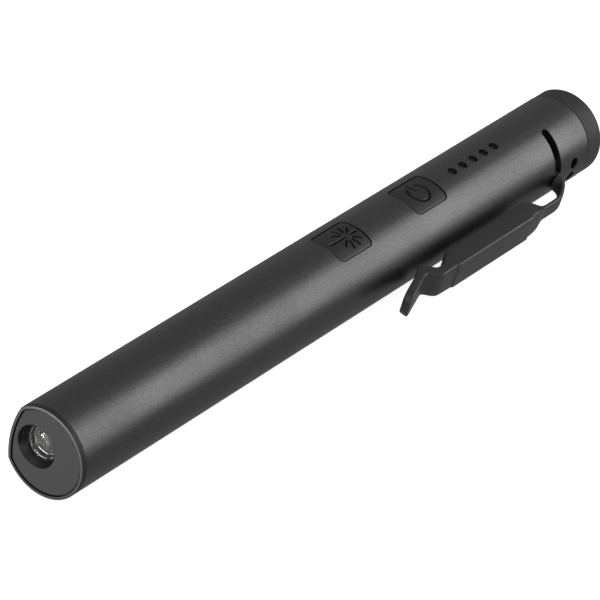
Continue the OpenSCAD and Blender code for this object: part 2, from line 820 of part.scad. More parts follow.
// Side view of block, crest and flared tip: [station, height above the axis, fillet]
block_side = [
    [block_x1 + shoulder_l, leg_r1 - cut, 0],
    [block_x1 + shoulder_l, leg_r1, 0],
    [block_x1, block_r1, 2],
    [block_x0 - front_lean, block_r1, 4],
    [crest_x - dip_run, tip_knee.y + tip_thick.y - dip_depth, 1.6],
    [tip_knee.x + tip_thick.x, tip_knee.y + tip_thick.y, 2.5],
    [tip_x + tip_thick.x, tip_r0 + tip_thick.y, 0.6],
    [tip_x, tip_r0, 0.6],
    [tip_knee.x, tip_knee.y, 4],
    [crest_x, crest_r, 0.8],
    [crest_x + 2, strip_r0, 1],
    [block_x0 + hollow_run, strip_r0, 1],
    [block_x0 + block_ramp, block_r0, 2.5],
    [block_x1 + rear_run, block_r0, 4],
    [block_x1 + shoulder_l, leg_r1 - cut, 0]
];

// Plan of the same stretch: [station, half width, fillet], mirrored
block_plan_half = [
    [block_x1 + shoulder_l + cut, neck_w / 2, 0],
    [block_x1 + shoulder_l, neck_w / 2, 0],
    [block_x1 - rear_run, block_w / 2, 6],
    [block_x0 + block_ramp, block_w / 2, 6],
    [crest_x, tip_w / 2, 6],
    [tip_x, tip_w / 2, tip_round]
];
plan_last = len(block_plan_half) - 1;
block_plan = concat(block_plan_half,
    [for (i = [plan_last:-1:0]) [block_plan_half[i].x, -block_plan_half[i].y, block_plan_half[i].z]]);

// Side view of the neck: heel over the slot, knee and leg
neck_side = [
    [block_x1 - shoulder_l, leg_r0 + cut, 0],
    [block_x1, leg_r0, 2],
    [slot_x - heel_front - cut, leg_r0, 0.5],
    [slot_x - heel_front, heel_r, 0],
    [slot_x + heel_back, heel_r, 0],
    [slot_x + heel_back - cut / 2, leg_r1 - knee_drop, 3],
    [slot_x - knee_run, leg_r1, 8],
    [block_x1 - shoulder_l, leg_r1, 0]
];

function outward(p) = [for (q = p) [q.x, -q.y]];

module clip_side(outline, w)
    linear_extrude(w, center = true)
        polygon(outward(filleted(outline)));

module clip() color(plastic_black) placed() difference() {
    union() {
        intersection() {
            clip_side(block_side, block_w + cut);
            rotate([90, 0, 0])
                linear_extrude(barrel_d + tip_rise)
                    polygon(filleted(block_plan));
        }
        clip_side(neck_side, neck_w);
        tang(0, tang_r0, heel_r + cut);
    }
    clip_screw_bore(seat_gap, tang_r0 - cut, clip_screw_r1 + seat_gap);
    magnet_pocket(seat_gap);
    cover_pocket(seat_gap);
}

module magnet_pocket(gap)
    slab(magnet_x0 - gap, magnet_x0 + magnet_l + gap, -block_r0 - cover_t - magnet_t, -block_r0 - cover_t,
         -magnet_w / 2 - gap, magnet_w / 2 + gap);

module cover_pocket(gap)
    slab(magnet_x0 - cover_rim - gap, magnet_x0 + magnet_l + cover_rim + gap,
         -block_r0 - cover_t, -block_r0 + gap,
         -magnet_w / 2 - cover_rim - gap, magnet_w / 2 + cover_rim + gap);

module clip_magnet() color("#8f9296") placed() magnet_pocket(0);

module magnet_cover() color("#232426") placed() cover_pocket(0);

// Tail

module tail_seal_groove(gap) difference() {
    d_body(cap_x0 + cap_spigot / 3 - gap, cap_x0 + 2 * cap_spigot / 3 + gap, wall + seat_gap - gap);
    d_body(cap_x0, tube_x1, plug_inset + seal_depth + gap);
}

module tail_seal() color("#0f0f10") placed() tail_seal_groove(0);

module socket_solid(grow, x0, x1)
    translate([x0, 0, 0])
        rotate([90, 0, 90])
            linear_extrude(x1 - x0)
                stadium(socket_w + 2 * grow, socket_h + 2 * grow);

module charge_pocket()
    slab(cap_x0 - cut, socket_x1 - socket_wall, -socket_w / 2 - seat_gap, socket_w / 2 + seat_gap,
         -socket_top - seat_gap, socket_top + charge_board_t + seat_gap);

module tail_cap() color("#1a1a1b") placed() difference() {
    union() {
        d_body(tube_x1, overall_len, cap_step, 0, cap_round);
        d_body(cap_x0, tube_x1, plug_inset);
    }
    tail_seal_groove(seat_gap);
    intersection() {
        charge_pocket();
        slab(cap_x0 - cut, charge_board_x1 + seat_gap, -barrel_r, barrel_r, -barrel_r, barrel_r);
    }
    socket_solid(plug_gap, cap_x0, overall_len + cut);
}

module charge_board() color(board_green) placed()
    slab(charge_board_x0, charge_board_x1, -charge_board_w / 2, charge_board_w / 2,
         socket_top, socket_top + charge_board_t);

module charge_socket() color(steel) placed() {
    difference() {
        socket_solid(0, socket_x1 - socket_l, socket_x1);
        socket_solid(-socket_wall, socket_x1 - socket_l + socket_wall, socket_x1 + cut);
    }
    translate([socket_x1 - socket_l, -tongue.y / 2, -tongue.z / 2])
        cube(tongue);
}

module charge_leads() color("#8c1d18") placed() for (s = [-1, 1])
    translate([0, s * charge_lead_y, charge_lead_z])
        along_x(board_x1)
            cylinder(d = lead_d, h = charge_board_x0 - board_x1);

barrel();
head_bezel();
front_panel();
lens();
lens_seal();
reflector();
led_emitter();
led_board();
heat_sink();
led_leads();
front_contact();
battery_cell();
rear_contact();
rear_pad();
chassis();
circuit_board();
board_chips();
board_screws();
button_guide();
front_button();
rear_button();
front_switch();
rear_switch();
front_plunger();
rear_plunger();
gauge_leds();
light_pipe();
swivel_hub();
hub_ring();
clip();
clip_shoe();
clip_screw();
clip_magnet();
magnet_cover();
tail_cap();
tail_seal();
charge_board();
charge_socket();
charge_leads();
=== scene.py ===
import json
import math
import bmesh
import bpy
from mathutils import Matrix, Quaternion, Vector


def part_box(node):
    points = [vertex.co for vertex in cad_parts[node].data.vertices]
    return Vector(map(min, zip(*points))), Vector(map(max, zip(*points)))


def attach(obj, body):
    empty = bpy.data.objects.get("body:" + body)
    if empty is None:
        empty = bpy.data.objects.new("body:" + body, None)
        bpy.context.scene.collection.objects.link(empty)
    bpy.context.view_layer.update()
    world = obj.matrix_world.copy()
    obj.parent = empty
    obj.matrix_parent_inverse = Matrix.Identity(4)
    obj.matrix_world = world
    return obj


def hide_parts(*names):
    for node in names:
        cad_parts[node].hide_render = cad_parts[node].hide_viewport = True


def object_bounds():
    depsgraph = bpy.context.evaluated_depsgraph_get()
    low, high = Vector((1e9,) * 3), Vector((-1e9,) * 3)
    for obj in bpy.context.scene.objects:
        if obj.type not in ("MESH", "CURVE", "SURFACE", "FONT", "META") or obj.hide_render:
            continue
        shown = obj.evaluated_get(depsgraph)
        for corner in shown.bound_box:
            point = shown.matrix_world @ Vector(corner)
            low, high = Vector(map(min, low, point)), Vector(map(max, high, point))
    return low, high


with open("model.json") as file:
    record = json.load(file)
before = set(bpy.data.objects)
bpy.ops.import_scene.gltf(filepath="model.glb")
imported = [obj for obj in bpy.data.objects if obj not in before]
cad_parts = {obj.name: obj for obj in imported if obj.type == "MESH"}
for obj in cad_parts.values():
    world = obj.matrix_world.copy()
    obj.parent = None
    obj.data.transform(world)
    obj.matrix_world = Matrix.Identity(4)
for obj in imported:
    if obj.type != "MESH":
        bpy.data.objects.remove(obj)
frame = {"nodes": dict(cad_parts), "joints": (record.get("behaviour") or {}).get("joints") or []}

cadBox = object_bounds()
solids = frame["nodes"]
print("frame loaded:", len(solids), "solids")

# the pen's own directions: along the tube, out of the buttons, out of the flat side
pressAxis = next(Vector(j["axis"]) for j in frame["joints"] if j["name"] == "front_button_press")
alongTube = Vector((1, 0, 0))
buttonUp = -pressAxis.normalized()
flatSide = buttonUp.cross(alongTube)
milli = 0.001  # metres in a millimetre


def penPoint(along, across, up):  # millimetres in the pen's directions to metres in the frame
    return (alongTube * along + flatSide * across + buttonUp * up) * milli


def middleOf(solid):  # station of a solid's middle along the tube, in millimetres
    low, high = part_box(solid)
    return (low.x + high.x) / 2 / milli


def toLinear(hexText):  # sRGB hex to the linear colour that the shaders take
    parts = [int(hexText[i:i + 2], 16) / 255 for i in (1, 3, 5)]
    return tuple(p / 12.92 if p <= 0.04045 else ((p + 0.055) / 1.055) ** 2.4 for p in parts) + (1.0,)


def addNode(tree, kind, values=None, links=None, **settings):
    node = tree.nodes.new(kind)
    for name, value in settings.items():
        setattr(node, name, value)
    for socket, value in (values or {}).items():
        node.inputs[socket].default_value = value
    for socket, source in (links or {}).items():
        tree.links.new(source, node.inputs[socket])
    return node


def perMetre(millimetres):  # pattern scale from the real size of one grain, in object space
    return 1 / (millimetres * milli)


def startFinish(name, shaderValues):
    made = bpy.data.materials.new(name)
    made.use_nodes = True
    tree = made.node_tree
    shader = tree.nodes["Principled BSDF"]
    for socket, value in shaderValues.items():
        shader.inputs[socket].default_value = value
    place = addNode(tree, "ShaderNodeTexCoord").outputs["Object"]
    return made, tree, shader, place


noiseSpan = (0.3, 0.7)  # where most of a noise's values lie
grainRelief = 0.2  # height of a grain as a share of its width


def grainFinish(name, look):
    # one fine grain for colour and bump, one broad cloud for the sheen
    made, tree, shader, place = startFinish(name, {
        "Metallic": look.get("metallic", 0), "IOR": look.get("ior", 1.5)})
    grain = addNode(tree, "ShaderNodeTexNoise", {
        "Scale": perMetre(look["grain"]), "Detail": 2, "Roughness": 0.6}, {"Vector": place})
    tint = addNode(tree, "ShaderNodeValToRGB", links={"Fac": grain.outputs["Fac"]})
    for stop, position, shade in zip(tint.color_ramp.elements, noiseSpan, (look["deep"], look["light"])):
        stop.position, stop.color = position, toLinear(shade)
    cloud = addNode(tree, "ShaderNodeTexNoise", {
        "Scale": perMetre(look.get("cloud", 12)), "Detail": 3}, {"Vector": place})
    sheen = addNode(tree, "ShaderNodeMapRange", {
        "From Min": noiseSpan[0], "From Max": noiseSpan[1], "To Min": look["rough"][0], "To Max": look["rough"][1]},
        {"Value": cloud.outputs["Fac"]})
    bump = addNode(tree, "ShaderNodeBump", {
        "Strength": look.get("bump", 0.2), "Distance": look["grain"] * grainRelief * milli},
        {"Height": grain.outputs["Fac"]})
    tree.links.new(tint.outputs["Color"], shader.inputs["Base Color"])
    tree.links.new(sheen.outputs["Result"], shader.inputs["Roughness"])
    tree.links.new(bump.outputs["Normal"], shader.inputs["Normal"])
    return made


# Aluminium tube, bead blasted, then dyed black in the anodising bath: the dye drinks most of the
# light, so the eye sees a charcoal satin that mirrors the room softly, with a sparkle of grit.
# Real grit marks are near 0.08 mm, drawn at 0.22 mm to show.
anodisedTube = grainFinish("blackAnodisedBlastedAluminium", {
    "deep": "#4c4c4c", "light": "#656565", "metallic": 1.0, "rough": (0.40, 0.46),
    "grain": 0.22, "cloud": 14, "bump": 0.35})
# Milled ring from the same bath, coarser blast: duller and darker than the tube
anodisedBezel = grainFinish("blackAnodisedMilledAluminium", {
    "deep": "#3c3c3c", "light": "#4d4d4d", "metallic": 1.0, "rough": (0.54, 0.62),
    "grain": 0.16, "cloud": 9, "bump": 0.2})
# The ring's front face, skimmed after dyeing and left satin: a thin pale outline round the head
skimmedRim = grainFinish("satinSkimmedAluminium", {
    "deep": "#5e5e5e", "light": "#747474", "metallic": 1.0, "rough": (0.42, 0.50),
    "grain": 0.16, "cloud": 6, "bump": 0.1})
# ABS panel from a spark-eroded mould: matte, with hardly any sheen
mattePanel = grainFinish("blackSparkErodedAbs", {
    "deep": "#2c2c2d", "light": "#353536", "ior": 1.54, "rough": (0.58, 0.66),
    "grain": 0.2, "cloud": 5, "bump": 0.3})
# The lamp funnel's wall, smoother in the mould than the face, with a soft sheen: its near black is painted shade for
# the recess in front of the lens
funnelPaintedShade = grainFinish("blackAbsWithPaintedFunnelShade", {
    "deep": "#060606", "light": "#0b0b0b", "ior": 1.45, "rough": (0.42, 0.52),
    "grain": 0.2, "cloud": 3, "bump": 0.05})
# Soft-touch silicone over a hard core: deep black with a low, even sheen
softButton = grainFinish("blackMouldedSilicone", {
    "deep": "#19191a", "light": "#222223", "ior": 1.46, "rough": (0.44, 0.52),
    "grain": 0.14, "cloud": 4, "bump": 0.15})
# The signs' floors, left rough from the spark with no sheen, and painted near black as the shade that falls in the
# engraved strokes
signPaintedShade = grainFinish("blackSiliconeWithPaintedSignShade", {
    "deep": "#060606", "light": "#0c0c0c", "ior": 1.3, "rough": (0.85, 0.95), "grain": 0.14, "cloud": 2})
# Glass-filled nylon from a lightly etched mould: satin black, crisp pale edges
clipNylon = grainFinish("blackGlassFilledNylon", {
    "deep": "#1c1c1d", "light": "#29292b", "ior": 1.53, "rough": (0.38, 0.46),
    "grain": 0.18, "cloud": 6, "bump": 0.2})
# Polycarbonate blend, spark-eroded mould: duller than the tube, with a fine even grain
capBlend = grainFinish("blackMouldedPolycarbonateBlend", {
    "deep": "#1e1e1f", "light": "#29292a", "ior": 1.5, "rough": (0.56, 0.64),
    "grain": 0.16, "cloud": 7, "bump": 0.25})
# Nitrile rings as pressed: dull black with a faint bloom
nitrileRing = grainFinish("blackPressedNitrile", {
    "deep": "#121212", "light": "#1c1c1c", "ior": 1.52, "rough": (0.60, 0.72),
    "grain": 0.2, "cloud": 3})
# Cup coated with aluminium in vacuum: bright, a breath of orange peel from the lacquer
mirrorCup = grainFinish("vacuumMetallisedAluminium", {
    "deep": "#b6b6b6", "light": "#d4d4d4", "metallic": 1.0, "rough": (0.04, 0.10),
    "grain": 0.9, "cloud": 2, "bump": 0.5})
# Phosphor cast in milky silicone: waxy cream with a wet gloss
lampPhosphor = grainFinish("creamCastPhosphor", {
    "deep": "#c6c4ba", "light": "#d4d2ca", "ior": 1.41, "rough": (0.18, 0.26), "grain": 0.1, "cloud": 1})
# White mask printed over an aluminium base: clean, half gloss
lampBoard = grainFinish("whiteMaskOnAluminium", {
    "deep": "#dcdcd6", "light": "#eaeae4", "ior": 1.52, "rough": (0.30, 0.40), "grain": 0.3, "cloud": 3})
# Aluminium bar as turned: pale grey with tool haze
turnedAluminium = grainFinish("turnedBareAluminium", {
    "deep": "#b4b7ba", "light": "#cfd1d3", "metallic": 1.0, "rough": (0.26, 0.38), "grain": 0.3, "cloud": 4})
# Silicone insulation as extruded: red with a soft gloss
leadSilicone = grainFinish("redExtrudedSilicone", {
    "deep": "#8e1a16", "light": "#a3231d", "ior": 1.43, "rough": (0.35, 0.45), "grain": 0.2, "cloud": 2})
# Spring sheet, stamped and nickel plated: warm silver, fine rolling haze
contactSheet = grainFinish("nickelPlatedSpringBronze", {
    "deep": "#c2b899", "light": "#d8cfb2", "metallic": 1.0, "rough": (0.22, 0.32), "grain": 0.15, "cloud": 2})
# Closed-cell foam, cut: dark, pitted, no gloss
cutFoam = grainFinish("blackCutFoam", {
    "deep": "#232325", "light": "#3a3a3d", "ior": 1.45, "rough": (0.85, 0.95), "grain": 0.5, "cloud": 3, "bump": 0.8})
# Nylon from a plain mould: dark grey, half matte
innerNylon = grainFinish("greyMouldedNylon", {
    "deep": "#37393c", "light": "#424447", "ior": 1.53, "rough": (0.45, 0.55), "grain": 0.2, "cloud": 5})
# The same nylon in near black: what shows in the clip's slot stays dark, a painted shade for the deep slot
hubPaintedShade = grainFinish("nearBlackNylonWithPaintedSlotShade", {
    "deep": "#0d0d0d", "light": "#151515", "ior": 1.45, "rough": (0.60, 0.70), "grain": 0.2, "cloud": 5})
# Epoxy package resin: sooty black with a fine filler grain
chipResin = grainFinish("blackMouldedEpoxy", {
    "deep": "#1d1e1f", "light": "#2a2b2d", "ior": 1.55, "rough": (0.50, 0.60), "grain": 0.1, "cloud": 2})
# Steel screws, zinc plated: cool grey shine
screwZinc = grainFinish("zincPlatedSteel", {
    "deep": "#b2b6ba", "light": "#cdd1d5", "metallic": 1.0, "rough": (0.22, 0.34), "grain": 0.12, "cloud": 1})
# Undyed nylon switch bodies: ivory and waxy
switchNylon = grainFinish("ivoryMouldedNylon", {
    "deep": "#c6c4b8", "light": "#d4d2c7", "ior": 1.53, "rough": (0.40, 0.50), "grain": 0.2, "cloud": 2})
# Acetal: slippery black, a greasy half gloss
blackAcetal = grainFinish("blackMouldedAcetal", {
    "deep": "#191919", "light": "#222222", "ior": 1.48, "rough": (0.32, 0.42), "grain": 0.15, "cloud": 2})
greyAcetal = grainFinish("greyMachinedAcetal", {  # the shoe: as above, cut from grey bar
    "deep": "#45484b", "light": "#515457", "ior": 1.48, "rough": (0.35, 0.45), "grain": 0.15, "cloud": 2})
# Magnet, nickel plated in a barrel: bright grey with a soft roll
magnetNickel = grainFinish("nickelPlatedNeodymium", {
    "deep": "#a6a8aa", "light": "#bfc1c3", "metallic": 1.0, "rough": (0.20, 0.32), "grain": 0.25, "cloud": 2})
# Drawn stainless shell: cold grey with drawing haze
socketSteel = grainFinish("drawnStainlessSteel", {
    "deep": "#b0b2b4", "light": "#c9cbcd", "metallic": 1.0, "rough": (0.24, 0.34), "grain": 0.15, "cloud": 3})

# Acrylic window, polished mould: clear, with the faintest haze. In part plain see-through, so that the
# cup behind it still gets light.
clearWindow, tree, shader, place = startFinish("clearMouldedAcrylic", {
    "Base Color": toLinear("#f4f4f4"), "IOR": 1.49, "Transmission Weight": 1.0, "Alpha": 0.35})
haze = addNode(tree, "ShaderNodeTexNoise", {"Scale": perMetre(2.5), "Detail": 2}, {"Vector": place})
polish = addNode(tree, "ShaderNodeMapRange", {"To Min": 0.02, "To Max": 0.06}, {"Value": haze.outputs["Fac"]})
tree.links.new(polish.outputs["Result"], shader.inputs["Roughness"])
# pebbled face that blurs the beam, pebbles near 1.1 mm: broken glints instead of one clean one
pebble = addNode(tree, "ShaderNodeTexVoronoi", {"Scale": perMetre(1.1)}, {"Vector": place}, feature="SMOOTH_F1")
pebbleBump = addNode(tree, "ShaderNodeBump", {"Strength": 0.35, "Distance": 0.2 * milli},
                     {"Height": pebble.outputs["Distance"]})
tree.links.new(pebbleBump.outputs["Normal"], shader.inputs["Normal"])

# Smoked polycarbonate pegs: dark, half see-through, polished ends
smokedPipe, tree, shader, place = startFinish("smokedMouldedPolycarbonate", {
    "IOR": 1.58, "Transmission Weight": 0.35})
smoke = addNode(tree, "ShaderNodeTexNoise", {"Scale": perMetre(0.6), "Detail": 2}, {"Vector": place})
smokeTint = addNode(tree, "ShaderNodeValToRGB", links={"Fac": smoke.outputs["Fac"]})
smokeTint.color_ramp.elements[0].color = toLinear("#151516")
smokeTint.color_ramp.elements[1].color = toLinear("#202122")
pegPolish = addNode(tree, "ShaderNodeMapRange", {"To Min": 0.30, "To Max": 0.42}, {"Value": smoke.outputs["Fac"]})
tree.links.new(smokeTint.outputs["Color"], shader.inputs["Base Color"])
tree.links.new(pegPolish.outputs["Result"], shader.inputs["Roughness"])

# Shrink sleeve on the cell: blue film, drawn tight, small puckers along the can
shrinkSleeve, tree, shader, place = startFinish("blueShrunkPvcSleeve", {"IOR": 1.53})
stretch = addNode(tree, "ShaderNodeMapping", {"Scale": (0.2, 1.0, 1.0)}, {"Vector": place})
pucker = addNode(tree, "ShaderNodeTexNoise", {"Scale": perMetre(1.2), "Detail": 3},
                 {"Vector": stretch.outputs["Vector"]})
film = addNode(tree, "ShaderNodeValToRGB", links={"Fac": pucker.outputs["Fac"]})
film.color_ramp.elements[0].color = toLinear("#2f5f96")
film.color_ramp.elements[1].color = toLinear("#4278b2")
filmGloss = addNode(tree, "ShaderNodeMapRange", {"To Min": 0.18, "To Max": 0.34}, {"Value": pucker.outputs["Fac"]})
filmBump = addNode(tree, "ShaderNodeBump", {"Strength": 0.3, "Distance": 0.1 * milli},
                   {"Height": pucker.outputs["Fac"]})
tree.links.new(film.outputs["Color"], shader.inputs["Base Color"])
tree.links.new(filmGloss.outputs["Result"], shader.inputs["Roughness"])
tree.links.new(filmBump.outputs["Normal"], shader.inputs["Normal"])

# Glass laminate under green mask: copper runs show as paler green, 0.8 mm wide
greenBoard, tree, shader, place = startFinish("greenMaskedGlassLaminate", {"IOR": 1.55})
runs = addNode(tree, "ShaderNodeTexBrick", {
    "Color1": toLinear("#1f5a3a"), "Color2": toLinear("#2a6a45"), "Mortar": toLinear("#3c7f58"),
    "Scale": perMetre(4.0), "Mortar Size": 0.1, "Brick Width": 1.6, "Row Height": 0.5}, {"Vector": place})
weave = addNode(tree, "ShaderNodeTexNoise", {"Scale": perMetre(0.4), "Detail": 2}, {"Vector": place})
maskGloss = addNode(tree, "ShaderNodeMapRange", {"To Min": 0.28, "To Max": 0.42}, {"Value": weave.outputs["Fac"]})
tree.links.new(runs.outputs["Color"], shader.inputs["Base Color"])
tree.links.new(maskGloss.outputs["Result"], shader.inputs["Roughness"])
print("finishes ready:", len(bpy.data.materials))

# which finish goes on which solid
finishOf = {
    "barrel": anodisedTube, "head_bezel": anodisedBezel, "front_panel": mattePanel, "lens": clearWindow,
    "lens_seal": nitrileRing, "reflector": mirrorCup, "led_emitter": lampPhosphor, "led_board": lampBoard,
    "heat_sink": turnedAluminium, "led_leads": leadSilicone, "front_contact": contactSheet,
    "battery_cell": shrinkSleeve, "rear_contact": contactSheet, "rear_pad": cutFoam, "chassis": innerNylon,
    "circuit_board": greenBoard, "board_chips": chipResin, "board_screws": screwZinc,
    "button_guide": innerNylon, "front_button": softButton, "rear_button": softButton,
    "front_switch": switchNylon, "rear_switch": switchNylon, "front_plunger": blackAcetal,
    "rear_plunger": blackAcetal, "gauge_leds": lampPhosphor, "light_pipe": smokedPipe,
    "swivel_hub": hubPaintedShade, "hub_ring": nitrileRing, "clip": clipNylon, "clip_shoe": greyAcetal,
    "clip_screw": screwZinc, "clip_magnet": magnetNickel, "magnet_cover": clipNylon, "tail_cap": capBlend,
    "tail_seal": nitrileRing, "charge_board": greenBoard, "charge_socket": socketSteel,
    "charge_leads": leadSilicone}
for solidName, finish in finishOf.items():
    solids[solidName].data.materials.clear()
    solids[solidName].data.materials.append(finish)


def newPiece(name, points, faces, finish, body, solid):
    mesh = bpy.data.meshes.new(name)
    mesh.from_pydata(points, [], faces)
    mesh.materials.append(finish)
    mesh.polygons.foreach_set("use_smooth", [True] * len(mesh.polygons))
    piece = bpy.data.objects.new(name, mesh)
    bpy.context.scene.collection.objects.link(piece)
    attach(piece, body)
    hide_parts(solid)
    return piece


def keepSharp(piece, degrees):  # edges that turn by more than this stay crisp
    piece.data.set_sharp_from_angle(angle=math.radians(degrees))


# the two buttons: soft edge, engraved sign, skirt, stem and snap barbs, in millimetres
buttonCap = {"length": 10.16, "width": 8.06, "corner": 1.15, "faceRadius": 8.95, "edge": 0.42, "edgeDrop": 0.34,
             "edgeMarks": (0, 0.012, 0.045, 0.1, 0.17, 0.26, 0.36, 0.46),
             "engrave": 0.2, "stroke": 0.5, "soft": 0.12, "cell": 0.085, "under": 5.65,
             "stemWidth": 2.4, "stemFoot": 4.7, "stemSides": 32, "stemSink": 0.3, "stemBreak": 0.15,
             "barbReach": 5.57, "barbWidth": 3.0, "barbTop": 7.55, "barbHeight": 0.9, "barbSink": 0.3,
             "barbFace": 0.3, "sharp": 50}


def edgeSteps(half, cell):
    # close steps over the rounded edge, even steps across the middle, from one side to the other
    near = [half - d for d in buttonCap["edgeMarks"]]
    count = max(2, round(2 * near[-1] / cell))
    middle = [near[-1] - 2 * near[-1] * i / count for i in range(1, count)]
    steps = near + middle + [-v for v in reversed(near)]
    return list(reversed(steps))


def nearestStroke(spot, strokes):
    best = math.inf
    for (ax, ay), (bx, by) in strokes:
        runX, runY = bx - ax, by - ay
        span = runX * runX + runY * runY
        share = 0 if span == 0 else max(0, min(1, ((spot[0] - ax) * runX + (spot[1] - ay) * runY) / span))
        best = min(best, math.hypot(spot[0] - ax - share * runX, spot[1] - ay - share * runY))
    return best


def buttonPiece(name, solid, body, strokes):
    cap = buttonCap
    centre = middleOf(solid)
    halfL, halfW, corner = cap["length"] / 2, cap["width"] / 2, cap["corner"]
    rows, columns = edgeSteps(halfW, cap["cell"]), edgeSteps(halfL, cap["cell"])
    points, faces, bites = [], [], []
    for across in rows:
        past = max(0, abs(across) - (halfW - corner))
        reach = halfL - corner + math.sqrt(max(0, corner ** 2 - past ** 2))  # the row ends on the rounded corner
        for column in columns:
            along = column * reach / halfL
            overX, overY = abs(along) - (halfL - corner), abs(across) - (halfW - corner)
            inside = corner - math.hypot(max(overX, 0), max(overY, 0)) - min(max(overX, overY), 0)
            steep = max(0, min(1, 1 - inside / cap["edge"]))
            drop = cap["edgeDrop"] * (1 - math.sqrt(1 - steep ** 2))
            off = nearestStroke((along, across), strokes)
            bite = max(0, min(1, (cap["stroke"] / 2 + cap["soft"] / 2 - off) / cap["soft"]))
            drop += cap["engrave"] * bite * bite * (3 - 2 * bite)
            bites.append(bite)
            points.append(penPoint(centre + along, across, math.sqrt(cap["faceRadius"] ** 2 - across ** 2) - drop))
    wide = len(columns)
    shadedSignFaces = []
    for row in range(len(rows) - 1):
        for column in range(wide - 1):
            first = row * wide + column
            corners = (first, first + 1, first + wide + 1, first + wide)
            if sum(bites[c] for c in corners) > len(corners) / 2:  # more than half engraved
                shadedSignFaces.append(len(faces))
            faces.append(corners)
    # skirt from the rim straight down, closed underneath
    top = len(rows) - 1
    rim = list(range(wide)) + [r * wide + wide - 1 for r in range(1, top + 1)]
    rim += [top * wide + c for c in range(wide - 2, -1, -1)] + [r * wide for r in range(top - 1, 0, -1)]
    foot = len(points)
    for index in rim:
        spot = points[index]
        points.append(spot + buttonUp * (cap["under"] * milli - spot.dot(buttonUp)))
    for i in range(len(rim)):
        j = (i + 1) % len(rim)
        faces.append((rim[j], rim[i], foot + i, foot + j))
    faces.append(tuple(foot + i for i in reversed(range(len(rim)))))
    # stem down to the switch
    ring = cap["stemSides"]
    start = len(points)
    for up in (cap["under"] + cap["stemSink"], cap["stemFoot"] + cap["stemBreak"], cap["stemFoot"]):
        radius = cap["stemWidth"] / 2 - (cap["stemBreak"] if up == cap["stemFoot"] else 0)
        for i in range(ring):
            turn = 2 * math.pi * i / ring
            points.append(penPoint(centre + radius * math.cos(turn), radius * math.sin(turn), up))
    for level in (0, 1):
        for i in range(ring):
            a, b = start + level * ring + i, start + level * ring + (i + 1) % ring
            faces.append((b, a, a + ring, b + ring))
    faces.append(tuple(start + i for i in range(ring)))
    faces.append(tuple(start + 2 * ring + i for i in reversed(range(ring))))
    # snap barbs, ramped underneath so that the button clicks in from outside
    for side in (-1, 1):
        base = len(points)
        root = halfL - cap["barbSink"]
        profile = ((root, cap["barbTop"]), (cap["barbReach"], cap["barbTop"]),
                   (cap["barbReach"], cap["barbTop"] - cap["barbFace"]), (root, cap["barbTop"] - cap["barbHeight"]))
        for across in (-cap["barbWidth"] / 2, cap["barbWidth"] / 2):
            for along, up in profile:
                points.append(penPoint(centre + side * along, across, up))
        for i in range(4):
            j = (i + 1) % 4
            faces.append((base + i, base + j, base + 4 + j, base + 4 + i)[::side])
        faces.append(tuple(base + i for i in range(4))[::-side])
        faces.append(tuple(base + 4 + i for i in range(4))[::side])
    piece = newPiece(name, points, faces, softButton, body, solid)
    keepSharp(piece, cap["sharp"])
    # faces more than half engraved take the near-black painted shade of the sign floors
    piece.data.materials.append(signPaintedShade)
    for index in shadedSignFaces:
        piece.data.polygons[index].material_index = 1
    return piece


# lamp sign: a short pen with rays all round its end
burst = {"hub": (1.3, 0.0), "rays": 10, "inner": 1.2, "outer": 2.85, "penFrom": 0.5, "penTo": 5.0}
lampSign = []
for ray in range(burst["rays"]):
    turn = 2 * math.pi * ray / burst["rays"]
    toward = (math.cos(turn), math.sin(turn))
    ends = ("penFrom", "penTo") if ray * 2 == burst["rays"] else ("inner", "outer")
    lampSign.append(tuple(tuple(h + burst[end] * t for h, t in zip(burst["hub"], toward)) for end in ends))
# power sign: an open ring with a bar through the gap
powerRing = {"radius": 2.3, "gap": 34, "pieces": 32, "bar": (0.8, 2.9)}
sweep = [math.radians(90 + powerRing["gap"] + (360 - 2 * powerRing["gap"]) * i / powerRing["pieces"])
         for i in range(powerRing["pieces"] + 1)]
ringSpots = [(powerRing["radius"] * math.cos(a), powerRing["radius"] * math.sin(a)) for a in sweep]
powerSign = list(zip(ringSpots[:-1], ringSpots[1:])) + [tuple((0.0, reach) for reach in powerRing["bar"])]
buttonPiece("frontButtonCap", "front_button", "front_key", lampSign)
buttonPiece("rearButtonCap", "rear_button", "rear_key", powerSign)
print("buttons built")

# the mirror cup behind the lens: rings of flat facets, staggered like brickwork, in millimetres
cupSizes = {"front": 2.45, "rear": 1.9, "depth": 6.4, "wall": 0.4, "flange": 3.8, "flangeDepth": 0.8,
            "rings": 7, "facets": 16, "lipRadius": 2.85, "lipRoll": 0.4, "lipSteps": 10}


